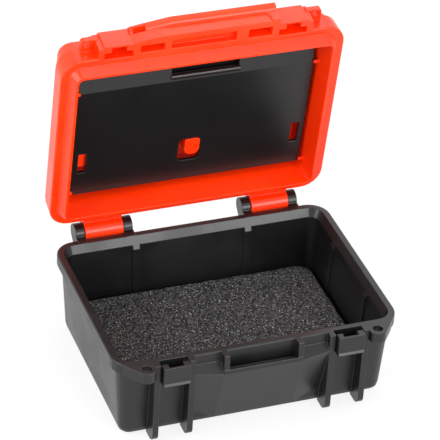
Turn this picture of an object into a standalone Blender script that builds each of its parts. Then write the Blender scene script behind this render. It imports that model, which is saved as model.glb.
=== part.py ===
"""Memory card case: a two-shell box with a hinged lid, a card panel in the lid and foam in the base.

Metres, +Z up. The origin is the centre of the base's underside, the front is at -Y, and the lid's pieces
are modelled as if the lid were shut, then swung open about the hinge axis with their parent empty.
"""

import math

import bmesh
import bpy
from mathutils import Matrix, Vector

# Rim and body of the base
RIM_WIDTH = 0.130
RIM_DEPTH = 0.095
RIM_CORNER = 0.0095
BASE_HEIGHT = 0.041
FLANGE_HEIGHT = 0.0055
FLANGE_EDGE = 0.0004
RIM_FLAT = 0.003
FUNNEL_DEPTH = 0.0038
BODY_STEP = 0.0022
BODY_DRAFT = 0.0022
WALL = 0.0028
FLOOR = 0.0022
BOTTOM_RADIUS = 0.0035
LEAST_CORNER = 0.0015

# Ribs inside the base
INNER_RIB_WIDTH = 0.0033
INNER_RIB_REACH = 0.001
BACK_RIB_END_MARGIN = 0.0382
SIDE_RIB_END_MARGIN = 0.028

# Stations at the front: two ribs with a plate between them, on both shells
STATION_END_MARGIN = 0.0162
STATION_WIDTH = 0.0182
RIB_THICKNESS = 0.0026
RIB_REACH = 0.0032
RIB_FOOT_RADIUS = 0.004
PLATE_SIDE_GAP = 0.0005
PLATE_REACH = 0.006
PLATE_DROP = 0.0094
PLATE_LIP_REACH = 0.0007
PLATE_LIP_HEIGHT = 0.0014
POCKET_DEPTH = 0.0074
POCKET_BACK = 0.0008
POCKET_STEP_REACH = 0.0025
POCKET_FRONT_WALL = 0.0009
POCKET_STEP_WIDTH = 0.0026

# Eyes at the front corners, on both shells
EYE_END_MARGIN = 0.0125
EYE_REACH = 0.0033
EYE_RADIUS = 0.0041
EYE_HOLE_RADIUS = 0.0022
EYE_THICKNESS = 0.005
EYE_SHOULDER_END_MARGIN = 0.0056
EYE_SHOULDER_REACH = 0.0011
LID_EYE_RADIUS = 0.0024
LID_EYE_HOLE_RADIUS = 0.0014
LID_EYE_CORNER = 0.0014
LID_EYE_LOW_HEIGHT = 0.0064
LID_EYE_HIGH_HEIGHT = 0.0088

# Bump and finger pocket in the middle of the base's front
BUMP_REACH = 0.005
BUMP_END_REACH = 0.003
BUMP_SHELF_DROP = 0.0091
BUMP_FOOT_HEIGHT = 0.003
BUMP_FOOT_LEDGE = 0.0001
CHEEK_MARGIN = 0.0125
CHEEK_THICKNESS = 0.0024
CHEEK_TOP_REACH = 0.0043
LIP_DROP = 0.0071
LIP_THICKNESS = 0.0011
TROUGH_DROP = 0.0098
TROUGH_RADIUS = 0.0005

# Hinges at the back
HINGE_BACK = 0.006
HINGE_RISE = 0.0003
HINGE_END_MARGIN = 0.0119
HINGE_LENGTH = 0.0268
EAR_THICKNESS = 0.0042
EAR_RADIUS = 0.0042
EAR_FOOT_DROP = 0.012
KNUCKLE_RADIUS = 0.0049
KNUCKLE_WEB_HEIGHT = 0.0052
PIN_RADIUS = 0.0015
PIN_RECESS = 0.0008
PIN_END_WALL = 0.0012
LID_OPEN_DEGREES = 80.67

# Foam
FOAM_SIDE_GAP = 0.0013
FOAM_THICKNESS = 0.0119
FOAM_CORNER = 0.006

# Lid
LID_HEIGHT = 0.019
LID_FLANGE_HEIGHT = 0.0096
LID_FLANGE_DRAFT = 0.0005
LID_STEP = 0.0012
LID_DRAFT = 0.0015
LID_TOP_RADIUS = 0.003
LID_ROOF = 0.002
TONGUE_HEIGHT = 0.0044
TONGUE_TIP = 0.0012
TONGUE_CLEARANCE = 0.00035
BOWL_SLOPE = 0.0018
BOWL_ROOF_SLOPE = 0.0012
BLOCK_HEIGHT = 0.0155
BLOCK_FACE_HEIGHT = 0.0104
BLOCK_CROWN = 0.0003
BLOCK_SHOULDER_REACH = 0.0022
BLOCK_SHOULDER_HEIGHT = 0.013
LID_RIB_REACH = 0.005

# Brow of the lid: its two ends differ, as seen on the real one
BROW_FOOT_HEIGHT = 0.006
BROW_CREST_HEIGHT = 0.009
BROW_TOP_HEIGHT = 0.0162
BROW_TOP_REACH = 0.003
BROW_FOOT_REACH = 0.0088
BROW_REACH = 0.0107
BROW_END_FOOT_REACH = 0.0063
BROW_END_REACH = 0.008
BROW_BEND_FOOT_REACH = 0.0073
BROW_BEND_REACH = 0.009
BROW_END_TOP_HEIGHT = 0.013
BROW_BEND_TOP_HEIGHT = 0.0148
BROW_END_LENGTH = 0.0062
BROW_RISE_LENGTH = 0.012
BROW_RISE_SHARES = ((0.48, 0.17), (0.8, 0.5), (1, 1))
BROW_FALL_SHARES = ((0.17, 0.19), (0.57, 0.61), (1, 1))
PAD_REACH = 0.008
PAD_LEFT_MARGIN = 0.0127
PAD_RIGHT_MARGIN = 0.0037
PAD_CORNER = 0.003
RECESS_MARGIN = 0.0012
RECESS_LENGTH = 0.0057
RECESS_REACH = 0.0042
RECESS_LOW_HEIGHT = 0.0059
RECESS_HIGH_HEIGHT = 0.0081
BROW_SLOT_REACH = 0.0052
BROW_SLOT_LEFT_X = -0.016
BROW_SLOT_RIGHT_X = 0.0136
BROW_SLOT_DEPTH = 0.003
BROW_CELL_MARGIN = 0.0032
BROW_CELL_LENGTH = 0.011
BROW_CELL_BACK = 0.0003
BROW_CELL_REACH = 0.0049
BROW_LEFT_CELL_REACH = 0.0042
BROW_CELL_DEPTH = 0.009

# Card panel
PANEL_SIDE_CLEARANCE = 0.0019
PANEL_THICKNESS = 0.0016
PANEL_DEPTH = 0.005
PANEL_BACK_MARGIN = 0.0127
PANEL_BEND_MARGIN = 0.0232
PANEL_FRONT_MARGIN = 0.010
PANEL_FRONT_DEPTH = 0.0083
PANEL_CORNER = 0.002
NOTCH_SIDE_SHIFT = 0.0036
NOTCH_HALF_WIDTH = 0.0157
NOTCH_MARGIN = 0.0204
NOTCH_LIP_RADIUS = 0.0014
CARD_CLEARANCE = 0.0024
CARD_POCKET_WALL = 0.001
SLOT_EDGE_MARGIN = 0.0042
SLOT_MARGIN = 0.0309
SLOT_WIDTH = 0.0038
SLOT_LENGTH = 0.0112
HOLE_MARGIN = 0.0301
HOLE_WIDTH = 0.0105
HOLE_LENGTH = 0.013
HOLE_CORNER = 0.0025
POST_MARGIN = 0.001
POST_BACK_STEP = 0.0022
CENTRE_POST_WIDTH = 0.007
CENTRE_POST_LENGTH = 0.009
CENTRE_POST_FRONT_CORNER = 0.0012
CENTRE_POST_CORNER = 0.0032
CENTRE_POST_SIDE_SHIFT = 0.0013
CENTRE_POST_FRONT_SHIFT = 0.0012
NUB_FRONT_MARGIN = 0.0225
NUB_BACK_MARGIN = 0.0145
NUB_LENGTH = 0.0014
NUB_THICKNESS = 0.0009
NUB_OVERLAP = 0.0004

# Gaps, overruns and how finely round shapes are stepped
GAP = 0.0003
OVERRUN = 0.002
EMBED = 0.0012
CORNER_STEPS = 6
EDGE_STEPS = 3
ROUND_SIDES = 24
ARC_STEPS = 5

# Places that follow from the sizes above
HALF_WIDTH = RIM_WIDTH / 2
HALF_DEPTH = RIM_DEPTH / 2
FRONT = -HALF_DEPTH
HINGE = Vector((0, HALF_DEPTH + HINGE_BACK, BASE_HEIGHT + HINGE_RISE))
LID_PLANE = BASE_HEIGHT + GAP
STATION_OUTER_X = HALF_WIDTH - STATION_END_MARGIN
STATION_INNER_X = STATION_OUTER_X - STATION_WIDTH
STATION_FREE_X = STATION_INNER_X + RIB_THICKNESS
EYE_X = HALF_WIDTH - EYE_END_MARGIN
EYE_SHOULDER_X = HALF_WIDTH - EYE_SHOULDER_END_MARGIN
EAR_OUTER_X = HALF_WIDTH - HINGE_END_MARGIN
EAR_INNER_X = EAR_OUTER_X - HINGE_LENGTH
BUMP_FOOT_HALF_WIDTH = STATION_INNER_X + GAP
CHEEK_OUTER_X = STATION_INNER_X - CHEEK_MARGIN
CHEEK_INNER_X = CHEEK_OUTER_X - CHEEK_THICKNESS
PLATE_INNER_X = STATION_FREE_X + PLATE_SIDE_GAP
PLATE_OUTER_X = STATION_OUTER_X - RIB_THICKNESS - PLATE_SIDE_GAP
INNER_TOP_INSET = BODY_STEP + WALL
INNER_FOOT_INSET = BODY_STEP + BODY_DRAFT + WALL
FUNNEL_SLOPE = (INNER_TOP_INSET - RIM_FLAT) / FUNNEL_DEPTH
TONGUE_TIP_INSET = RIM_FLAT + TONGUE_CLEARANCE + TONGUE_HEIGHT * FUNNEL_SLOPE
BOWL_INSET = TONGUE_TIP_INSET + TONGUE_TIP
PANEL_WALL_INSET = BOWL_INSET + BOWL_SLOPE
PANEL_HALF_WIDTH = HALF_WIDTH - PANEL_WALL_INSET - PANEL_SIDE_CLEARANCE
SLOT_X = PANEL_HALF_WIDTH - SLOT_EDGE_MARGIN

COLOURS = {
    "black_plastic": ((0.030, 0.030, 0.031), 0.42, 0.0),
    "panel_plastic": ((0.022, 0.022, 0.023), 0.32, 0.0),
    "red_plastic": ((0.95, 0.055, 0.012), 0.38, 0.0),
    "foam": ((0.035, 0.031, 0.033), 0.95, 0.0),
    "steel": ((0.42, 0.42, 0.43), 0.35, 1.0),
}


def clear_scene():
    for item in list(bpy.data.objects):
        bpy.data.objects.remove(item, do_unlink=True)


def new_collection(name):
    group = bpy.data.collections.new(name)
    bpy.context.scene.collection.children.link(group)
    return group


def material(name):
    colour, roughness, metallic = COLOURS[name]
    finish = bpy.data.materials.get(name) or bpy.data.materials.new(name)
    finish.use_nodes = True
    shader = finish.node_tree.nodes["Principled BSDF"]
    shader.inputs["Base Color"].default_value = (*colour, 1)
    shader.inputs["Roughness"].default_value = roughness
    shader.inputs["Metallic"].default_value = metallic
    finish.diffuse_color = (*colour, 1)
    return finish


def from_bmesh(shape, name="shape"):
    """Link a bmesh as a new object in the case's collection."""
    mesh = bpy.data.meshes.new(name)
    shape.to_mesh(mesh)
    shape.free()
    item = bpy.data.objects.new(name, mesh)
    parts.objects.link(item)
    return item


def rounded_ring(half_x, half_y, radius, steps=CORNER_STEPS):
    """Points of a rounded rectangle, anticlockwise from the middle of its right back corner."""
    points = []
    for corner, (side_x, side_y) in enumerate(((1, 1), (-1, 1), (-1, -1), (1, -1))):
        for step in range(steps + 1):
            angle = math.pi / 2 * (corner + step / steps)
            points.append((side_x * (half_x - radius) + radius * math.cos(angle),
                           side_y * (half_y - radius) + radius * math.sin(angle)))
    return points


def loft(rings):
    """Close a stack of rings, listed from the bottom up, into one solid."""
    shape = bmesh.new()
    loops = [[shape.verts.new(point) for point in ring] for ring in rings]
    count = len(loops[0])
    for lower, upper in zip(loops, loops[1:]):
        for i in range(count):
            j = (i + 1) % count
            shape.faces.new((lower[i], lower[j], upper[j], upper[i]))
    shape.faces.new(list(reversed(loops[0])))
    shape.faces.new(loops[-1])
    bmesh.ops.recalc_face_normals(shape, faces=shape.faces)
    return from_bmesh(shape)


def tub(levels):
    """Solid with rounded-rectangle sections. Each level is a height and the inset from the rim's edge."""
    rings = []
    for height, inset in levels:
        radius = max(RIM_CORNER - inset, LEAST_CORNER)
        ring = rounded_ring(HALF_WIDTH - inset, HALF_DEPTH - inset, radius)
        rings.append([(x, y, height) for x, y in ring])
    return loft(rings)


def arc(centre, radius, start, end, steps=ARC_STEPS):
    """Points along an arc, with its angles in degrees."""
    points = []
    for step in range(steps + 1):
        angle = math.radians(start + (end - start) * step / steps)
        points.append((centre[0] + radius * math.cos(angle), centre[1] + radius * math.sin(angle)))
    return points


def slab(outline, low, high, axis="X"):
    """Plate with a flat outline of (y, z) points between two x places, or of (x, y) between two z."""
    curve = bpy.data.curves.new("outline", "CURVE")
    curve.dimensions = "2D"
    curve.fill_mode = "BOTH"
    curve.extrude = (high - low) / 2
    spline = curve.splines.new("POLY")
    spline.points.add(len(outline) - 1)
    for point, (a, b) in zip(spline.points, outline):
        point.co = (a, b, 0, 1)
    spline.use_cyclic_u = True
    item = bpy.data.objects.new("outline", curve)
    parts.objects.link(item)
    bpy.context.view_layer.update()
    mesh = bpy.data.meshes.new_from_object(item.evaluated_get(bpy.context.evaluated_depsgraph_get()))
    bpy.data.objects.remove(item)
    middle = (low + high) / 2
    if axis == "X":
        turn = Matrix(((0, 0, 1, middle), (1, 0, 0, 0), (0, 1, 0, 0), (0, 0, 0, 1)))
    else:
        turn = Matrix.Translation((0, 0, middle))
    shape = bmesh.new()
    shape.from_mesh(mesh)
    bpy.data.meshes.remove(mesh)
    bmesh.ops.remove_doubles(shape, verts=shape.verts, dist=GAP / 100)
    bmesh.ops.dissolve_limit(shape, angle_limit=math.radians(0.5), verts=shape.verts, edges=shape.edges)
    shape.transform(turn)
    bmesh.ops.recalc_face_normals(shape, faces=shape.faces)
    return from_bmesh(shape)


def box(low, high):
    shape = bmesh.new()
    bmesh.ops.create_cube(shape, size=1)
    size = Vector(high) - Vector(low)
    shape.transform(Matrix.Translation((Vector(low) + Vector(high)) / 2) @ Matrix.Diagonal((*size, 1)))
    return from_bmesh(shape)


def rod(centre, radius, low, high, axis="X"):
    """Cylinder along X through a (y, z) centre, or along Z through an (x, y) centre."""
    shape = bmesh.new()
    bmesh.ops.create_cone(shape, cap_ends=True, segments=ROUND_SIDES, radius1=radius, radius2=radius,
                          depth=high - low)
    middle = (low + high) / 2
    if axis == "X":
        place = Matrix.Translation((middle, *centre)) @ Matrix.Rotation(math.pi / 2, 4, "Y")
    else:
        place = Matrix.Translation((*centre, middle))
    shape.transform(place)
    return from_bmesh(shape)


def combine(item, tools, operation):
    """Join or cut a solid with others, one after another, and remove those others."""
    for tool in tools:
        change = item.modifiers.new(operation, "BOOLEAN")
        change.operation = operation
        change.solver = "EXACT"
        change.object = tool
        bpy.context.view_layer.update()
        graph = bpy.context.evaluated_depsgraph_get()
        mesh = bpy.data.meshes.new_from_object(item.evaluated_get(graph))
        item.modifiers.clear()
        old = item.data
        item.data = mesh
        bpy.data.meshes.remove(old)
        bpy.data.objects.remove(tool)
    return item


def unite(item, *tools):
    return combine(item, tools, "UNION")


def cut(item, *tools):
    return combine(item, tools, "DIFFERENCE")


def finish(item, name, colour, hinge=None):
    """Name a finished solid, give it its material and smooth shading, and hang a moving one on its hinge."""
    item.name = name
    item.data.name = name
    item.data.materials.clear()
    item.data.materials.append(material(colour))
    item.data.shade_smooth()
    item.data.set_sharp_from_angle(angle=math.radians(30))
    if hinge:
        item.data.transform(Matrix.Translation(-hinge.location))
        item.parent = hinge
    return item


def span(side, inner, outer):
    """The low and high x of something between two distances from the middle, on one side."""
    return (inner, outer) if side > 0 else (-outer, -inner)


def station_ribs(side):
    """The x ranges of a station's two ribs."""
    return (span(side, STATION_INNER_X, STATION_INNER_X + RIB_THICKNESS),
            span(side, STATION_OUTER_X - RIB_THICKNESS, STATION_OUTER_X))


def station_pocket(side, low, high):
    """The T-shaped pocket in a station's plate, between two heights."""
    back = FRONT + POCKET_BACK
    step = FRONT - POCKET_STEP_REACH
    front = FRONT - PLATE_REACH + POCKET_FRONT_WALL
    wide = span(side, PLATE_INNER_X - PLATE_SIDE_GAP, PLATE_OUTER_X + PLATE_SIDE_GAP)
    narrow = span(side, PLATE_INNER_X + POCKET_STEP_WIDTH, PLATE_OUTER_X - POCKET_STEP_WIDTH)
    return (box((wide[0], step, low), (wide[1], back, high)),
            box((narrow[0], front, low), (narrow[1], step + GAP, high)))


def base_eye(side):
    """Flat eye beside the base's front corner, with a shoulder that runs into the rim's side."""
    centre = (side * EYE_X, FRONT - EYE_REACH)
    shoulder = (side * EYE_SHOULDER_X, FRONT - EYE_SHOULDER_REACH)
    root_x = side * (EYE_X - EYE_RADIUS)
    corner_x = side * (HALF_WIDTH - RIM_CORNER)
    head = arc(centre, EYE_RADIUS, -90 + side * 42, -90 - side * 90, ARC_STEPS * 2)
    inside = FRONT + EMBED
    outline = [(root_x, inside), (corner_x, inside + EMBED),
               (side * (HALF_WIDTH - EMBED * 2), inside + EMBED * 2), shoulder, *head,
               (root_x, FRONT - EYE_REACH + GAP)]
    return slab(outline, BASE_HEIGHT - EYE_THICKNESS, BASE_HEIGHT, axis="Z")


def lid_eye(side, low, high):
    """Upright eye between the lid's corner and its outer rib, square but for one rounded corner."""
    tip = FRONT - EYE_REACH - LID_EYE_RADIUS
    outer = EYE_X + LID_EYE_RADIUS
    root_x = side * (STATION_OUTER_X - EMBED)
    turn = (side * (outer - LID_EYE_CORNER), tip + LID_EYE_CORNER)
    outline = [(root_x, FRONT + EMBED), (side * outer, FRONT + EMBED),
               *arc(turn, LID_EYE_CORNER, 270 + side * 90, 270), (root_x, tip)]
    return slab(outline, low, high, axis="Z")


def eye_hole(side, radius, low, high):
    return rod((side * EYE_X, FRONT - EYE_REACH), radius, low - OVERRUN, high + OVERRUN, axis="Z")


def body_inset(height):
    """How far the base's outer wall stands inside the rim's edge at a height."""
    wall_height = BASE_HEIGHT - FLANGE_HEIGHT
    return BODY_STEP + BODY_DRAFT * (1 - height / wall_height)


def bottom_round(inset, radius, floor):
    """Levels of the rounded edge round a tub's underside."""
    levels = []
    for step in range(EDGE_STEPS + 1):
        angle = math.pi / 2 * step / EDGE_STEPS
        levels.append((floor + radius * (1 - math.cos(angle)), inset + radius * (1 - math.sin(angle))))
    return levels


def make_base():
    under = BASE_HEIGHT - FLANGE_HEIGHT
    base = tub(bottom_round(body_inset(0), BOTTOM_RADIUS, 0) + [
        (under, BODY_STEP), (under + GAP, 0), (BASE_HEIGHT - FLANGE_EDGE, 0), (BASE_HEIGHT, FLANGE_EDGE)])
    inside = FRONT + body_inset(0) + EMBED
    for side in (-1, 1):
        foot = (FRONT - RIB_REACH + RIB_FOOT_RADIUS, RIB_FOOT_RADIUS)
        rib = [(inside, BASE_HEIGHT), (FRONT - RIB_REACH, BASE_HEIGHT),
               *arc(foot, RIB_FOOT_RADIUS, 180, 270), (inside, 0)]
        plate_low = BASE_HEIGHT - PLATE_DROP
        lip_low = plate_low + PLATE_LIP_HEIGHT
        plate = [(FRONT + INNER_TOP_INSET - GAP, BASE_HEIGHT), (FRONT - PLATE_REACH, BASE_HEIGHT),
                 (FRONT - PLATE_REACH, lip_low), (FRONT - PLATE_REACH - PLATE_LIP_REACH, plate_low + GAP),
                 (FRONT - PLATE_REACH, plate_low), (FRONT + INNER_TOP_INSET - GAP, plate_low)]
        unite(base, *(slab(rib, *place) for place in station_ribs(side)),
              slab(plate, *span(side, PLATE_INNER_X, PLATE_OUTER_X)),
              base_eye(side))
        cut(base, *station_pocket(side, BASE_HEIGHT - POCKET_DEPTH, BASE_HEIGHT + OVERRUN),
            eye_hole(side, EYE_HOLE_RADIUS, BASE_HEIGHT - EYE_THICKNESS, BASE_HEIGHT))
    add_bump(base)
    add_ears(base)
    cut(base, tub(bottom_round(INNER_FOOT_INSET, BOTTOM_RADIUS - WALL / 2, FLOOR) + [
        (BASE_HEIGHT - FUNNEL_DEPTH, INNER_TOP_INSET), (BASE_HEIGHT, RIM_FLAT),
        (BASE_HEIGHT + OVERRUN, RIM_FLAT)]))
    add_inner_ribs(base)
    return finish(base, "base_shell", "black_plastic")


def add_bump(base):
    """The swelling in the middle of the front, with the finger pocket behind its lip."""
    inside = FRONT + body_inset(0) + EMBED
    shelf = BASE_HEIGHT - BUMP_SHELF_DROP
    under = BASE_HEIGHT - FLANGE_HEIGHT
    lip_front = FRONT - BUMP_REACH
    foot_y = FRONT + body_inset(BUMP_FOOT_HEIGHT) - BUMP_FOOT_LEDGE
    back_y = FRONT + body_inset(shelf) + EMBED
    lean = (foot_y - lip_front) / (shelf - BUMP_FOOT_HEIGHT)
    rise = (under + FLANGE_EDGE - shelf) / BUMP_REACH
    setback = BUMP_REACH - BUMP_END_REACH
    end_foot_y = foot_y + setback
    end_y = lip_front + setback - lean * setback * rise / (1 + lean * rise)
    end = BUMP_FOOT_HALF_WIDTH
    foot = [(-end, end_foot_y), (-CHEEK_OUTER_X, foot_y), (CHEEK_OUTER_X, foot_y), (end, end_foot_y),
            (end, end_foot_y + GAP), (-end, end_foot_y + GAP)]
    top = [(-end, end_y), (-CHEEK_OUTER_X, lip_front), (CHEEK_OUTER_X, lip_front), (end, end_y),
           (end, back_y), (-end, back_y)]
    rings = [[(x, y, BUMP_FOOT_HEIGHT) for x, y in foot],
             [(x, y, shelf + (y - lip_front) * rise) for x, y in top]]
    lip = [(inside, BASE_HEIGHT - LIP_DROP), (lip_front, BASE_HEIGHT - LIP_DROP), (lip_front, shelf),
           (inside, shelf - LIP_DROP)]
    cheek = [(FRONT + EMBED, BASE_HEIGHT), (FRONT - CHEEK_TOP_REACH, BASE_HEIGHT), (lip_front, shelf + GAP),
             (FRONT + EMBED, shelf - LIP_DROP)]
    unite(base, loft(rings), slab(lip, -CHEEK_OUTER_X, CHEEK_OUTER_X),
          *(slab(cheek, *span(side, CHEEK_INNER_X, CHEEK_OUTER_X)) for side in (-1, 1)))
    trough_low = BASE_HEIGHT - TROUGH_DROP
    trough_front = lip_front + LIP_THICKNESS
    trough_turn = (FRONT - TROUGH_RADIUS, trough_low + TROUGH_RADIUS)
    trough = [(FRONT, BASE_HEIGHT + OVERRUN), (trough_front, BASE_HEIGHT + OVERRUN),
              (trough_front, trough_low), *arc(trough_turn, TROUGH_RADIUS, 270, 360)]
    opening = [(FRONT, BASE_HEIGHT - LIP_DROP), (FRONT, BASE_HEIGHT + OVERRUN),
               (lip_front - OVERRUN, BASE_HEIGHT + OVERRUN), (lip_front - OVERRUN, BASE_HEIGHT - LIP_DROP)]
    cut(base, slab(trough, -CHEEK_INNER_X, CHEEK_INNER_X), slab(opening, -CHEEK_INNER_X, CHEEK_INNER_X))


def add_ears(base):
    """Two ears for each hinge, and the bore for its pin, which is pressed in from the right."""
    wall = HALF_DEPTH - INNER_TOP_INSET + GAP
    ear = [(wall, BASE_HEIGHT), *arc(HINGE[1:], EAR_RADIUS, 180, -60, ARC_STEPS * 3),
           (HALF_DEPTH - BODY_STEP, BASE_HEIGHT - EAR_FOOT_DROP), (wall, BASE_HEIGHT - EAR_FOOT_DROP)]
    for side in (-1, 1):
        unite(base, slab(ear, *span(side, EAR_INNER_X, EAR_INNER_X + EAR_THICKNESS)),
              slab(ear, *span(side, EAR_OUTER_X - EAR_THICKNESS, EAR_OUTER_X)))
        low, high = span(side, EAR_INNER_X, EAR_OUTER_X)
        cut(base, rod(HINGE[1:], PIN_RADIUS + GAP, low + PIN_END_WALL, high + OVERRUN))


def add_inner_ribs(base):
    """Shallow ribs that stiffen the walls inside. Their tops carry the funnel's slope on."""
    top = BASE_HEIGHT - FUNNEL_DEPTH
    shoulder = top - INNER_RIB_REACH / FUNNEL_SLOPE
    back = HALF_DEPTH - INNER_TOP_INSET + GAP
    edge = HALF_WIDTH - INNER_TOP_INSET + GAP
    foot = INNER_FOOT_INSET + INNER_RIB_REACH
    head = INNER_TOP_INSET + INNER_RIB_REACH
    deep = INNER_FOOT_INSET - GAP
    for side in (-1, 1):
        middle = side * (HALF_WIDTH - BACK_RIB_END_MARGIN)
        profile = [(HALF_DEPTH - foot, FLOOR / 2), (HALF_DEPTH - deep, FLOOR / 2), (back, top),
                   (HALF_DEPTH - INNER_TOP_INSET, top), (HALF_DEPTH - head, shoulder)]
        unite(base, slab(profile, middle - INNER_RIB_WIDTH / 2, middle + INNER_RIB_WIDTH / 2))
        for y in (SIDE_RIB_END_MARGIN - HALF_DEPTH, HALF_DEPTH - SIDE_RIB_END_MARGIN):
            low, high = y - INNER_RIB_WIDTH / 2, y + INNER_RIB_WIDTH / 2
            section = [(side * (HALF_WIDTH - foot), FLOOR / 2), (side * (HALF_WIDTH - deep), FLOOR / 2),
                       (side * edge, top), (side * (HALF_WIDTH - INNER_TOP_INSET), top),
                       (side * (HALF_WIDTH - head), shoulder)]
            unite(base, loft([[(x, place, z) for x, z in section] for place in (low, high)]))


def make_foam():
    """Foam sheet that fills the floor between the walls and the inner ribs."""
    inset = INNER_FOOT_INSET + FOAM_SIDE_GAP
    ring = rounded_ring(HALF_WIDTH - inset, HALF_DEPTH - inset, FOAM_CORNER)
    low = FLOOR + GAP
    foam = loft([[(x, y, z) for x, y in ring] for z in (low, low + FOAM_THICKNESS)])
    return finish(foam, "foam_pad", "foam")


def make_pin(side, name):
    low, high = span(side, EAR_INNER_X, EAR_OUTER_X)
    pin = rod(HINGE[1:], PIN_RADIUS, low + PIN_END_WALL + GAP, high - PIN_RECESS)
    return finish(pin, name, "steel")


def make_lid(hinge):
    top = LID_PLANE + LID_HEIGHT
    step_low = LID_PLANE + LID_FLANGE_HEIGHT
    wall_inset = LID_FLANGE_DRAFT + LID_STEP
    roof_inset = wall_inset + LID_DRAFT
    rounded = [(top - height, inset) for height, inset in bottom_round(roof_inset, LID_TOP_RADIUS, 0)]
    lid = tub([(LID_PLANE, FLANGE_EDGE), (LID_PLANE + FLANGE_EDGE, 0), (step_low, LID_FLANGE_DRAFT),
               (step_low + GAP, wall_inset), *reversed(rounded)])
    unite(lid, tub([(LID_PLANE - TONGUE_HEIGHT, TONGUE_TIP_INSET),
                    (LID_PLANE + GAP, RIM_FLAT + TONGUE_CLEARANCE)]))
    inside = FRONT + roof_inset + EMBED
    eye_low = LID_PLANE + LID_EYE_LOW_HEIGHT
    eye_high = LID_PLANE + LID_EYE_HIGH_HEIGHT
    for side in (-1, 1):
        block = span(side, STATION_FREE_X - GAP, STATION_OUTER_X - RIB_THICKNESS + GAP)
        unite(lid, *(slab(front_profile(inside, LID_RIB_REACH), *place) for place in station_ribs(side)),
              slab(front_profile(inside, PLATE_REACH), *block), lid_eye(side, eye_low, eye_high))
        cut(lid, *station_pocket(side, LID_PLANE - OVERRUN, LID_PLANE + POCKET_DEPTH),
            eye_hole(side, LID_EYE_HOLE_RADIUS, eye_low, eye_high))
        add_knuckle(lid, side)
    add_brow(lid, inside)
    tip = LID_PLANE - TONGUE_HEIGHT
    roof_inset = PANEL_WALL_INSET + BOWL_ROOF_SLOPE
    cut(lid, tub([(tip - OVERRUN, BOWL_INSET), (tip, BOWL_INSET), (LID_PLANE + PANEL_DEPTH, PANEL_WALL_INSET),
                  (top - LID_ROOF, roof_inset)]))
    add_panel_seats(lid)
    return finish(lid, "lid_shell", "red_plastic", hinge)


def front_profile(inside, reach):
    """Side view of a lid rib or block: upright from the parting plane, then falling back to the wall."""
    return [(inside, LID_PLANE), (inside, LID_PLANE + BLOCK_HEIGHT), (FRONT, LID_PLANE + BLOCK_HEIGHT),
            (FRONT - BLOCK_SHOULDER_REACH, LID_PLANE + BLOCK_SHOULDER_HEIGHT),
            (FRONT - reach, LID_PLANE + BLOCK_FACE_HEIGHT),
            (FRONT - reach - BLOCK_CROWN, LID_PLANE + BLOCK_FACE_HEIGHT / 2),
            (FRONT - reach, LID_PLANE)]


def add_knuckle(lid, side):
    low, high = span(side, EAR_INNER_X + EAR_THICKNESS + GAP, EAR_OUTER_X - EAR_THICKNESS - GAP)
    web_top = LID_PLANE + KNUCKLE_WEB_HEIGHT
    web = [(HALF_DEPTH - EMBED, LID_PLANE), (HINGE.y, LID_PLANE), (HINGE.y, HINGE.z + KNUCKLE_RADIUS),
           (HALF_DEPTH - EMBED, web_top)]
    unite(lid, slab(web, low, high), rod(HINGE[1:], KNUCKLE_RADIUS, low, high))
    cut(lid, rod(HINGE[1:], PIN_RADIUS + GAP, low - OVERRUN, high + OVERRUN))


def brow_ring(x, inside, foot_reach, reach, top):
    """Section of the brow at a place: its front, rounded over the crest and falling back to the roof."""
    rise = BROW_CREST_HEIGHT - BROW_FOOT_HEIGHT
    fall = top - BROW_CREST_HEIGHT
    front = [(foot_reach, 0), (foot_reach, BROW_FOOT_HEIGHT)]
    front += [(foot_reach + (reach - foot_reach) * out, BROW_FOOT_HEIGHT + rise * up)
              for out, up in BROW_RISE_SHARES]
    front += [(reach + (BROW_TOP_REACH - reach) * back, BROW_CREST_HEIGHT + fall * up)
              for back, up in BROW_FALL_SHARES]
    return ([(x, inside, LID_PLANE)] + [(x, FRONT - out, LID_PLANE + up) for out, up in front]
            + [(x, inside, LID_PLANE + top)])


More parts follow.
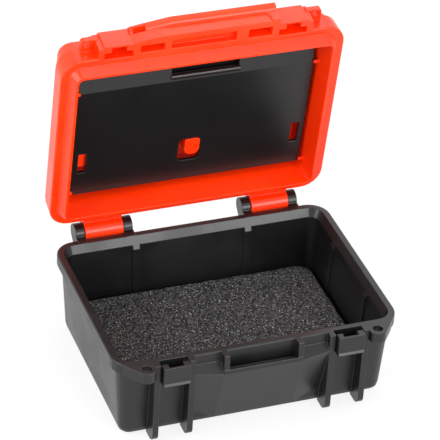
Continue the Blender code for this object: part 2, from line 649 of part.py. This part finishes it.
def add_brow(lid, inside):
    """The brow: a rounded crest over a sunk grip pad, a recess in its low end, and cells underneath."""
    end = STATION_FREE_X
    bend = BROW_END_LENGTH - end
    sections = ((-end, BROW_END_FOOT_REACH, BROW_END_REACH, BROW_END_TOP_HEIGHT),
                (bend, BROW_BEND_FOOT_REACH, BROW_BEND_REACH, BROW_BEND_TOP_HEIGHT),
                (bend + BROW_RISE_LENGTH, BROW_FOOT_REACH, BROW_REACH, BROW_TOP_HEIGHT),
                (end, BROW_FOOT_REACH, BROW_REACH, BROW_TOP_HEIGHT))
    unite(lid, loft([brow_ring(x, inside, *section) for x, *section in sections]))
    left = PAD_LEFT_MARGIN - end
    right = end - PAD_RIGHT_MARGIN
    turn = LID_PLANE + BROW_FOOT_HEIGHT - PAD_CORNER
    low = LID_PLANE - OVERRUN
    pad = [(left, low), (right, low), *arc((right - PAD_CORNER, turn), PAD_CORNER, 0, 90),
           *arc((left + PAD_CORNER, turn), PAD_CORNER, 90, 180)]
    recess_x = RECESS_MARGIN - end
    cuts = [loft([[(x, y, z) for x, z in pad] for y in (FRONT - BROW_REACH - OVERRUN, FRONT - PAD_REACH)]),
            box((recess_x, FRONT - BROW_REACH, LID_PLANE + RECESS_LOW_HEIGHT),
                (recess_x + RECESS_LENGTH, FRONT - RECESS_REACH, LID_PLANE + RECESS_HIGH_HEIGHT)),
            box((BROW_SLOT_LEFT_X, FRONT - BROW_SLOT_REACH, low),
                (BROW_SLOT_RIGHT_X, FRONT - BROW_CELL_BACK, LID_PLANE + BROW_SLOT_DEPTH))]
    for side, reach in ((-1, BROW_LEFT_CELL_REACH), (1, BROW_CELL_REACH)):
        far = end - BROW_CELL_MARGIN
        inner, outer = span(side, far - BROW_CELL_LENGTH, far)
        cuts.append(box((inner, FRONT - reach, LID_PLANE - OVERRUN),
                        (outer, FRONT - BROW_CELL_BACK, LID_PLANE + BROW_CELL_DEPTH)))
    cut(lid, *cuts)


def add_panel_seats(lid):
    """Posts behind the panel's left slot and through its hole, and nubs in front of its edges."""
    roof = LID_PLANE + LID_HEIGHT - LID_ROOF / 2
    panel_back = LID_PLANE + PANEL_DEPTH + PANEL_THICKNESS
    post_y = HALF_DEPTH - SLOT_MARGIN
    half_x = SLOT_WIDTH / 2 + POST_MARGIN
    centre_x = CENTRE_POST_SIDE_SHIFT
    centre_y = HALF_DEPTH - HOLE_MARGIN - CENTRE_POST_FRONT_SHIFT
    left, right = centre_x - CENTRE_POST_WIDTH / 2, centre_x + CENTRE_POST_WIDTH / 2
    front, back = centre_y - CENTRE_POST_LENGTH / 2, centre_y + CENTRE_POST_LENGTH / 2
    turn_y = back - CENTRE_POST_CORNER
    front_turn = CENTRE_POST_FRONT_CORNER
    centre_post = [*arc((left + front_turn, front + front_turn), front_turn, 180, 270),
                   *arc((right - front_turn, front + front_turn), front_turn, 270, 360),
                   *arc((right - CENTRE_POST_CORNER, turn_y), CENTRE_POST_CORNER, 0, 90),
                   *arc((left + CENTRE_POST_CORNER, turn_y), CENTRE_POST_CORNER, 90, 180)]
    seats = [box((-SLOT_X - half_x, post_y - SLOT_LENGTH / 2 - POST_MARGIN, panel_back + GAP),
                 (-SLOT_X + half_x, post_y + SLOT_LENGTH / 2 - POST_BACK_STEP, roof)),
             slab(centre_post, LID_PLANE + PANEL_DEPTH, roof, axis="Z")]
    nub_high = LID_PLANE + PANEL_DEPTH - GAP
    wall_x = HALF_WIDTH - BOWL_INSET
    for y in (FRONT + NUB_FRONT_MARGIN, HALF_DEPTH - NUB_BACK_MARGIN):
        for side in (-1, 1):
            low, high = span(side, PANEL_HALF_WIDTH - NUB_OVERLAP, wall_x)
            seats.append(box((low, y - NUB_LENGTH / 2, nub_high - NUB_THICKNESS),
                             (high, y + NUB_LENGTH / 2, nub_high)))
    unite(lid, *seats)


def add_notch(panel, bend, front):
    """Thumb notch in the panel's sloping front, with a rolled lip and the shallow pocket behind it."""
    slope = (front[1] - bend[1]) / (bend[0] - front[0])
    notch_y = FRONT + NOTCH_MARGIN
    end_y = front[0] - OVERRUN

    def strip(start, end, low, high):
        start_z, end_z = (bend[1] + slope * (bend[0] - y) for y in (start, end))
        return [(start, start_z + low), (end, end_z + low), (end, end_z + high), (start, start_z + high)]

    left, right = NOTCH_SIDE_SHIFT - NOTCH_HALF_WIDTH, NOTCH_SIDE_SHIFT + NOTCH_HALF_WIDTH
    back = PANEL_THICKNESS + CARD_CLEARANCE
    casing = strip(bend[0], front[0], PANEL_THICKNESS / 2, back + CARD_POCKET_WALL)
    unite(panel, slab(casing, left - CARD_POCKET_WALL, right + CARD_POCKET_WALL))
    cut(panel, slab(strip(bend[0] + OVERRUN, end_y, PANEL_THICKNESS + GAP / 2, back), left, right),
        slab(strip(notch_y, end_y, -OVERRUN, back - GAP), left, right))
    lip_z = bend[1] + slope * (bend[0] - notch_y) + PANEL_THICKNESS - NOTCH_LIP_RADIUS
    unite(panel, rod((notch_y + NOTCH_LIP_RADIUS / 2, lip_z), NOTCH_LIP_RADIUS, left - GAP, right + GAP))


def make_panel(hinge):
    depth = LID_PLANE + PANEL_DEPTH
    back_y = HALF_DEPTH - PANEL_BACK_MARGIN
    bend_y = FRONT + PANEL_BEND_MARGIN
    front_y = FRONT + PANEL_FRONT_MARGIN
    front_z = LID_PLANE + PANEL_FRONT_DEPTH
    profile = [(back_y, depth), (back_y, depth + PANEL_THICKNESS), (bend_y, depth + PANEL_THICKNESS),
               (front_y, front_z + PANEL_THICKNESS), (front_y, front_z), (bend_y, depth)]
    panel = slab(profile, -PANEL_HALF_WIDTH, PANEL_HALF_WIDTH)
    add_notch(panel, (bend_y, depth), (front_y, front_z))
    low = min(depth, front_z) - OVERRUN
    high = max(depth, front_z) + PANEL_THICKNESS + OVERRUN
    slot_y = HALF_DEPTH - SLOT_MARGIN
    hole_y = HALF_DEPTH - HOLE_MARGIN
    hole = [(x, hole_y + y) for x, y in rounded_ring(HOLE_WIDTH / 2, HOLE_LENGTH / 2, HOLE_CORNER)]
    windows = [box((side * SLOT_X - SLOT_WIDTH / 2, slot_y - SLOT_LENGTH / 2, low),
                   (side * SLOT_X + SLOT_WIDTH / 2, slot_y + SLOT_LENGTH / 2, high)) for side in (-1, 1)]
    cut(panel, *windows, slab(hole, low, high, axis="Z"))
    for side in (-1, 1):
        corner = [(side * PANEL_HALF_WIDTH + side * OVERRUN, front_y - OVERRUN),
                  (side * (PANEL_HALF_WIDTH - PANEL_CORNER) - side * OVERRUN, front_y - OVERRUN),
                  (side * PANEL_HALF_WIDTH + side * OVERRUN, front_y + PANEL_CORNER + OVERRUN)]
        cut(panel, slab(corner, low, high, axis="Z"))
    return finish(panel, "card_panel", "panel_plastic", hinge)


clear_scene()
parts = new_collection("memory_card_case")
lid_hinge = bpy.data.objects.new("lid_hinge", None)
lid_hinge.location = HINGE
parts.objects.link(lid_hinge)

make_base()
make_foam()
make_pin(-1, "hinge_pin_left")
make_pin(1, "hinge_pin_right")
make_lid(lid_hinge)
make_panel(lid_hinge)
lid_hinge.rotation_euler.x = -math.radians(LID_OPEN_DEGREES)
bpy.context.view_layer.update()
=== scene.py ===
import math

import bmesh
import bpy
from mathutils import Matrix, Vector, noise


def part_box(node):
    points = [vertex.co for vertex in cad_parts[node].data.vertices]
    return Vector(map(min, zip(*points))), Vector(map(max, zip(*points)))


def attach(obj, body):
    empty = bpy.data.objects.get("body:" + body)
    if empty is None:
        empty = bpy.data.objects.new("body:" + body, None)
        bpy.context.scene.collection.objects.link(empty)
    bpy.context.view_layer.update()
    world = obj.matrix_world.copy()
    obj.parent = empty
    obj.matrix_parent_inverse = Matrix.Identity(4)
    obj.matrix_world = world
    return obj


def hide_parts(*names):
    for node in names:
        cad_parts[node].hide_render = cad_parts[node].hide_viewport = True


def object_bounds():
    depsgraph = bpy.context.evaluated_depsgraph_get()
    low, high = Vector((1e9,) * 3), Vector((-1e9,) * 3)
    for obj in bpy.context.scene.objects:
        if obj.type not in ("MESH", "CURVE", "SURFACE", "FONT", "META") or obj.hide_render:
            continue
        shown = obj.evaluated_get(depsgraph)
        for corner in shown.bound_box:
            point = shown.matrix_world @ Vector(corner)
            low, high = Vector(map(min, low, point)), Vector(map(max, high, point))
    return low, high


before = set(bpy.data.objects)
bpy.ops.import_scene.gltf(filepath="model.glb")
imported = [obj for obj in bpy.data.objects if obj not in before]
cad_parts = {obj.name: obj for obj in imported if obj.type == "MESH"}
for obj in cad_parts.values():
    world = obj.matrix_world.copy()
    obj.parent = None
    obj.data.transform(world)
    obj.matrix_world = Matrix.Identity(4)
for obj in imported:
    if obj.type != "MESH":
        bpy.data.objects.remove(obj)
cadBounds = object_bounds()
print("case: frame loaded")

# how the bevel shader finds and softens edges
bevel = {
    "edgeSamples": 6,
    "softSamples": 8,
    "edgeLow": 0.02,
    "edgeHigh": 0.25,
}


class Wire:
    # one output of a node, usable in sums
    def __init__(self, desk, socket):
        self.desk = desk
        self.socket = socket

    def maths(self, operation, first, second):
        return self.desk.node("ShaderNodeMath", {"operation": operation}, {0: first, 1: second})

    def __add__(self, other):
        return self.maths("ADD", self, other)

    def __radd__(self, other):
        return self.maths("ADD", other, self)

    def __sub__(self, other):
        return self.maths("SUBTRACT", self, other)

    def __rsub__(self, other):
        return self.maths("SUBTRACT", other, self)

    def __mul__(self, other):
        return self.maths("MULTIPLY", self, other)

    def __rmul__(self, other):
        return self.maths("MULTIPLY", other, self)

    def step(self, low, high, start=0.0, end=1.0):
        # eases from start to end while the value goes from low to high
        settings = {"interpolation_type": "SMOOTHSTEP"}
        sockets = {"Value": self, "From Min": low, "From Max": high, "To Min": start, "To Max": end}
        return self.desk.node("ShaderNodeMapRange", settings, sockets)


class Desk:
    # a material or a world, and the nodes laid out for it
    def __init__(self, owner):
        self.owner = owner
        owner.use_nodes = True
        self.tree = owner.node_tree
        self.tree.nodes.clear()

    def node(self, kind, settings=None, sockets=None, out=0):
        made = self.tree.nodes.new(kind)
        for key, value in (settings or {}).items():
            setattr(made, key, value)
        for key, value in (sockets or {}).items():
            if isinstance(value, Wire):
                self.tree.links.new(value.socket, made.inputs[key])
            else:
                made.inputs[key].default_value = value
        return Wire(self, made.outputs[out]) if made.outputs else None

    def place(self):
        return self.node("ShaderNodeTexCoord", out="Object")

    def noise(self, where, scale, detail, rough=0.5):
        sockets = {"Vector": where, "Scale": scale, "Detail": detail, "Roughness": rough}
        return self.node("ShaderNodeTexNoise", None, sockets)

    def cells(self, where, scale, feature):
        sockets = {"Vector": where, "Scale": scale}
        return self.node("ShaderNodeTexVoronoi", {"feature": feature}, sockets, out="Distance")

    def mixed(self, share, first, second):
        return self.node("ShaderNodeMix", {"data_type": "RGBA"}, {0: share, 6: first, 7: second}, out=2)

    def rounded(self, samples, radius):
        return self.node("ShaderNodeBevel", {"samples": samples}, {"Radius": radius})

    def edges(self, radius):
        # 1 on sharp outer and inner edges, 0 on flats; the plastics paint a highlight colour along it
        soft = self.rounded(bevel["edgeSamples"], radius)
        flat = self.node("ShaderNodeNewGeometry", out="Normal")
        settings = {"operation": "DOT_PRODUCT"}
        same = self.node("ShaderNodeVectorMath", settings, {0: soft, 1: flat}, out="Value")
        return (1 - same).step(bevel["edgeLow"], bevel["edgeHigh"])

    def bumped(self, height, distance, radius=None):
        sockets = {"Height": height, "Distance": distance, "Strength": 1.0}
        if radius:
            sockets["Normal"] = self.rounded(bevel["softSamples"], radius)
        return self.node("ShaderNodeBump", None, sockets)

    def finish(self, sockets):
        shader = self.node("ShaderNodeBsdfPrincipled", None, sockets)
        self.node("ShaderNodeOutputMaterial", None, {"Surface": shader})
        return self.owner

    def seenRays(self):
        # 1 on rays from the camera and on the mirrored and passed ones
        return (self.node("ShaderNodeLightPath", out="Is Camera Ray")
                + self.node("ShaderNodeLightPath", out="Is Glossy Ray")
                + self.node("ShaderNodeLightPath", out="Is Transmission Ray"))


def newFinish(name):
    return Desk(bpy.data.materials.new(name))


def setFinish(nodeName, material):
    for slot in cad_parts[nodeName].material_slots:
        slot.material = material


def addToScene(name, data):
    item = bpy.data.objects.new(name, data)
    bpy.context.scene.collection.objects.link(item)
    return item


# camera, at the photograph's angle
view = {
    "azimuth": 21.436,
    "elevation": 34.2545,
    "roll": 3.3688,
    "distance": 1.234076,
    "across": 0.000132,
    "up": 0.060934,
    "lens": 224.86,
    "sensor": 36.0,
    "farthest": 20.0,
}


def makeCamera():
    azimuth, elevation, roll = (math.radians(view[key]) for key in ("azimuth", "elevation", "roll"))
    back = Vector((-math.sin(azimuth) * math.cos(elevation), -math.cos(azimuth) * math.cos(elevation),
                   math.sin(elevation)))
    right = (-back).cross(Vector((0, 0, 1))).normalized()
    upward = right.cross(-back)
    across = math.cos(roll) * right + math.sin(roll) * upward
    over = -math.sin(roll) * right + math.cos(roll) * upward
    spot = back * view["distance"] + across * view["across"] + over * view["up"]
    lens = bpy.data.cameras.new("photoCamera")
    lens.lens = view["lens"]
    lens.sensor_width = view["sensor"]
    lens.clip_end = view["farthest"]
    camera = addToScene("photoCamera", lens)
    camera.matrix_world = Matrix((
        (across.x, over.x, back.x, spot.x),
        (across.y, over.y, back.y, spot.y),
        (across.z, over.z, back.z, spot.z),
        (0, 0, 0, 1)))
    bpy.context.scene.camera = camera


makeCamera()
print("case: camera set")


# studio: white floor, even sky, soft lamps
studio = {
    "white": (1, 1, 1, 1),
    "skyStrength": 1.1,
    "floorSize": 6.0,
    "floorDrop": 0.0002,
    "floorColour": (0.86, 0.86, 0.86, 1),
    "floorWhite": 0.84,
    "aim": (0, 0, 0.05),
    "lamps": (
        # name, place, width, height, watts
        ("frontBox", (0.44, -1.30, 0.46), 0.8, 0.7, 12.0),
        ("leftBox", (-1.25, -0.15, 0.70), 0.9, 0.9, 11.0),
        ("backBox", (0.45, 0.82, 1.25), 0.8, 0.8, 3.0),
        ("topBox", (0.15, -0.15, 1.9), 1.0, 1.0, 5.0),
    ),
}


def makeSky():
    world = bpy.data.worlds.new("paleSky")
    bpy.context.scene.world = world
    desk = Desk(world)
    lightSockets = {"Color": studio["white"], "Strength": studio["skyStrength"]}
    lit = desk.node("ShaderNodeBackground", None, lightSockets)
    seen = desk.node("ShaderNodeBackground", None, {"Color": studio["white"], "Strength": 1.0})
    both = desk.node("ShaderNodeMixShader", None, {0: desk.seenRays(), 1: lit, 2: seen})
    desk.node("ShaderNodeOutputWorld", None, {"Surface": both})


def makeFloor():
    desk = newFinish("floorPaper")
    paper = desk.node("ShaderNodeBsdfDiffuse", None, {"Color": studio["floorColour"]})
    glow = desk.node("ShaderNodeEmission", None, {"Color": studio["white"], "Strength": 1.0})
    share = desk.seenRays() * studio["floorWhite"]
    whole = desk.node("ShaderNodeMixShader", None, {0: share, 1: paper, 2: glow})
    desk.node("ShaderNodeOutputMaterial", None, {"Surface": whole})
    half = studio["floorSize"] / 2
    corners = [(-half, -half, 0), (half, -half, 0), (half, half, 0), (-half, half, 0)]
    mesh = bpy.data.meshes.new("floor")
    mesh.from_pydata(corners, [], [(0, 1, 2, 3)])
    mesh.materials.append(desk.owner)
    floor = addToScene("floor", mesh)
    floor.location.z = cadBounds[0][2] - studio["floorDrop"]


def makeLamps():
    aim = Vector(studio["aim"])
    for name, place, width, height, watts in studio["lamps"]:
        lamp = bpy.data.lights.new(name, "AREA")
        lamp.shape = "RECTANGLE"
        lamp.size = width
        lamp.size_y = height
        lamp.energy = watts
        item = addToScene(name, lamp)
        item.location = place
        item.rotation_euler = (Vector(place) - aim).to_track_quat("Z", "Y").to_euler()


makeSky()
makeFloor()
makeLamps()
print("case: studio set")


# black moulded plastic of the base, with a painted highlight along its edges
blackPlastic = {
    "dark": (0.005, 0.005, 0.0052, 1),
    "pale": (0.0085, 0.0085, 0.0088, 1),
    "cloudScale": 38.0,
    "cloudDetail": 4.0,
    "cloudSpan": (0.35, 0.7),
    # painted highlight: the paler colour laid along the edges
    "edge": (0.045, 0.045, 0.046, 1),
    "edgeHighlightShare": 0.6,
    "edgeRadius": 0.0005,
    "grainScale": 5200.0,
    "grainDetail": 2.0,
    "height": 0.000012,
    "roughLow": 0.33,
    "roughHigh": 0.41,
    "grainRough": 0.1,
    "refraction": 1.5,
}

# glossy red plastic of the lid, with slow waves in the gloss and a painted highlight along its edges
redPlastic = {
    "dark": (0.95, 0.031, 0.0008, 1),
    "pale": (1.0, 0.040, 0.001, 1),
    "cloudScale": 30.0,
    "cloudDetail": 3.0,
    "cloudSpan": (0.35, 0.7),
    # painted highlight: the paler colour laid along the edges
    "edge": (1.0, 0.074, 0.010, 1),
    "edgeHighlightShare": 0.5,
    "edgeRadius": 0.0005,
    "grainScale": 4200.0,
    "grainDetail": 2.0,
    "waveScale": 260.0,
    "waveDetail": 3.0,
    "grainShare": 0.4,
    "height": 0.00001,
    "roughLow": 0.26,
    "roughHigh": 0.34,
    "grainRough": 0.06,
    "refraction": 1.42,
}

# smooth black plastic of the card panel, with a painted highlight along its edges
panelPlastic = {
    "dark": (0.005, 0.005, 0.0053, 1),
    "pale": (0.008, 0.008, 0.0084, 1),
    "cloudScale": 60.0,
    "cloudDetail": 5.0,
    # painted highlight: the paler colour laid along the edges
    "edge": (0.035, 0.035, 0.035, 1),
    "edgeHighlightShare": 0.6,
    "edgeRadius": 0.0004,
    "grainScale": 6500.0,
    "grainDetail": 2.0,
    "height": 0.000008,
    "roughLow": 0.27,
    "roughHigh": 0.33,
    "grainRough": 0.08,
    "refraction": 1.5,
}


def makePlastic(name, look):
    desk = newFinish(name)
    where = desk.place()
    cloud = desk.noise(where, look["cloudScale"], look["cloudDetail"])
    if "cloudSpan" in look:
        cloud = cloud.step(*look["cloudSpan"])
    grain = desk.noise(where, look["grainScale"], look["grainDetail"])
    relief = grain
    if "waveScale" in look:
        relief = desk.noise(where, look["waveScale"], look["waveDetail"]) + grain * look["grainShare"]
    colour = desk.mixed(cloud, look["dark"], look["pale"])
    # paints the highlight colour along sharp edges
    colour = desk.mixed(desk.edges(look["edgeRadius"]) * look["edgeHighlightShare"], colour, look["edge"])
    rough = cloud.step(0, 1, look["roughLow"], look["roughHigh"]) + (grain - 0.5) * look["grainRough"]
    normal = desk.bumped(relief, look["height"], look["edgeRadius"])
    return desk.finish({"Base Color": colour, "Roughness": rough, "Normal": normal,
                        "IOR": look["refraction"]})


# drawn steel of the hinge pins, with fine lines along the pin
pinSteel = {
    "bright": (0.52, 0.52, 0.53, 1),
    "dull": (0.30, 0.30, 0.31, 1),
    "drawScale": (90.0, 4200.0, 4200.0),
    "lineDetail": 3.0,
    "lineSpan": (0.3, 0.7),
    "dullRough": 0.42,
    "brightRough": 0.24,
    "height": 0.000006,
    "edgeRadius": 0.0002,
}


def makePinSteel():
    desk = newFinish("pin_steel")
    where = desk.node("ShaderNodeMapping", None, {"Vector": desk.place(), "Scale": pinSteel["drawScale"]})
    lines = desk.noise(where, 1.0, pinSteel["lineDetail"]).step(*pinSteel["lineSpan"])
    colour = desk.mixed(lines, pinSteel["dull"], pinSteel["bright"])
    rough = lines.step(0, 1, pinSteel["dullRough"], pinSteel["brightRough"])
    normal = desk.bumped(lines, pinSteel["height"], pinSteel["edgeRadius"])
    return desk.finish({"Base Color": colour, "Metallic": 1.0, "Roughness": rough, "Normal": normal})


setFinish("base_shell", makePlastic("moulded_black", blackPlastic))
setFinish("lid_shell", makePlastic("moulded_red", redPlastic))
setFinish("card_panel", makePlastic("panel_black", panelPlastic))
steel = makePinSteel()
setFinish("hinge_pin_left", steel)
setFinish("hinge_pin_right", steel)
print("case: plastics and steel done")


# charcoal foam sheet in the base, with painted shade in its pits and painted glints on its cells
foamPad = {
    # mesh
    "margin": 0.0004,
    "corner": 0.0072,
    "step": 0.0011,
    "sideRows": 9,
    "sameLevel": 0.0001,
    "lumpScale": 240.0,
    "lumpHeight": 0.00022,
    "lumpRough": 0.6,
    "lumpGap": 2.0,
    "lumpLayers": 3,
    "cellScale": 900.0,
    "cellHeight": 0.00018,
    "settle": 0.00012,
    "rimDrop": 0.00048,
    "rimNormal": 0.95,
    # material
    "dark": (0.0045, 0.0046, 0.0046, 1),
    "pale": (0.070, 0.072, 0.072, 1),
    # painted glint: the pale colour of the bright specks
    "paintedGlint": (0.64, 0.64, 0.63, 1),
    "grainScale": 900.0,
    "grainRough": 0.7,
    "poreScale": 1150.0,
    "paintedGlintScale": 1600.0,
    "chanceScale": 800.0,
    "chanceRough": 0.6,
    "noiseDetail": 3.0,
    "grainShare": 0.75,
    # how strongly the painted shade in the pits darkens the colour
    "pitShadeShare": 0.35,
    "shadeSpan": (0.47, 0.67),
    "paintedGlintSpan": (0.40, 0.20),
    "chanceSpan": (0.53, 0.60),
    "grainHeight": 0.8,
    "height": 0.0004,
    "roughness": 0.8,
    "refraction": 1.45,
}


def makeFoamFinish():
    desk = newFinish("charcoal_foam")
    where = desk.place()
    detail = foamPad["noiseDetail"]
    pore = desk.cells(where, foamPad["poreScale"], "F1")
    walls = desk.cells(where, foamPad["poreScale"], "DISTANCE_TO_EDGE")
    glint = desk.cells(where, foamPad["paintedGlintScale"], "F1")
    grain = desk.noise(where, foamPad["grainScale"], detail, foamPad["grainRough"])
    chance = desk.noise(where, foamPad["chanceScale"], detail, foamPad["chanceRough"])
    # random grain tone, with the pit centres painted darker as shade
    shade = (grain * foamPad["grainShare"] + pore * foamPad["pitShadeShare"]).step(*foamPad["shadeSpan"])
    # painted glints: pale specks on some of the small cells
    paintedGlints = glint.step(*foamPad["paintedGlintSpan"]) * chance.step(*foamPad["chanceSpan"])
    colour = desk.mixed(shade, foamPad["dark"], foamPad["pale"])
    colour = desk.mixed(paintedGlints, colour, foamPad["paintedGlint"])
    normal = desk.bumped(grain * foamPad["grainHeight"] - walls, foamPad["height"])
    return desk.finish({"Base Color": colour, "Roughness": foamPad["roughness"], "Normal": normal,
                        "IOR": foamPad["refraction"]})


def roundedSpot(x, y, halfX, halfY, corner):
    # bends the square corners of the grid into round ones
    overX = abs(x) - (halfX - corner)
    overY = abs(y) - (halfY - corner)
    if overX <= 0 or overY <= 0:
        return x, y
    u, v = overX / corner, overY / corner
    newX = halfX - corner + corner * u * math.sqrt(1 - v * v / 2)
    newY = halfY - corner + corner * v * math.sqrt(1 - u * u / 2)
    return math.copysign(newX, x), math.copysign(newY, y)


def addTop(shape, middle, halfX, halfY, top):
    # the upper face as a grid, and its outline in order
    acrossCount = round(2 * halfX / foamPad["step"])
    deepCount = round(2 * halfY / foamPad["step"])
    grid = []
    for i in range(acrossCount + 1):
        row = []
        for j in range(deepCount + 1):
            x = -halfX + 2 * halfX * i / acrossCount
            y = -halfY + 2 * halfY * j / deepCount
            x, y = roundedSpot(x, y, halfX, halfY, foamPad["corner"])
            row.append(shape.verts.new((middle.x + x, middle.y + y, top)))
        grid.append(row)
    for i in range(acrossCount):
        for j in range(deepCount):
            shape.faces.new((grid[i][j], grid[i + 1][j], grid[i + 1][j + 1], grid[i][j + 1]))
    outline = [grid[i][0] for i in range(acrossCount)]
    outline += [grid[acrossCount][j] for j in range(deepCount)]
    outline += [grid[i][deepCount] for i in range(acrossCount, 0, -1)]
    outline += [grid[0][j] for j in range(deepCount, 0, -1)]
    return outline


def addSides(shape, outline, top, foot):
    # rows of side faces down to the flat underside
    rows = foamPad["sideRows"]
    above = outline
    for level in range(1, rows + 1):
        height = top + (foot - top) * level / rows
        below = [shape.verts.new((vert.co.x, vert.co.y, height)) for vert in outline]
        for k in range(len(outline)):
            after = (k + 1) % len(outline)
            shape.faces.new((above[k], below[k], below[after], above[after]))
        above = below
    shape.faces.new(above)


def roughened(vert, top, foot):
    # how far a vertex moves for the lumps, the cells and the soft upper edge
    spot = vert.co
    if spot.z <= foot + foamPad["sameLevel"]:
        return Vector((0, 0, 0))
    lump = noise.fractal(spot * foamPad["lumpScale"], foamPad["lumpRough"], foamPad["lumpGap"],
                         foamPad["lumpLayers"]) * foamPad["lumpHeight"]
    cell = noise.noise(spot * foamPad["cellScale"]) * foamPad["cellHeight"]
    onRim = spot.z > top - foamPad["sameLevel"] and abs(vert.normal.z) < foamPad["rimNormal"]
    drop = foamPad["rimDrop"] if onRim else 0
    return vert.normal * (lump + cell - foamPad["settle"] - drop)


def makeFoam():
    low, high = (Vector(point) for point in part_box("foam_pad"))
    middle = (low + high) / 2
    halfX = (high.x - low.x) / 2 - foamPad["margin"]
    halfY = (high.y - low.y) / 2 - foamPad["margin"]
    top = high.z - foamPad["margin"]
    shape = bmesh.new()
    outline = addTop(shape, middle, halfX, halfY, top)
    addSides(shape, outline, top, low.z)
    bmesh.ops.recalc_face_normals(shape, faces=shape.faces)
    shape.normal_update()
    moves = [roughened(vert, top, low.z) for vert in shape.verts]
    for vert, move in zip(shape.verts, moves):
        vert.co += move
    mesh = bpy.data.meshes.new("foam_sheet")
    shape.to_mesh(mesh)
    shape.free()
    mesh.shade_smooth()
    mesh.materials.append(makeFoamFinish())
    foam = addToScene("foam_sheet", mesh)
    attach(foam, "base")
    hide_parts("foam_pad")


makeFoam()
print("case: foam done")

bpy.context.scene.view_settings.view_transform = "Standard"
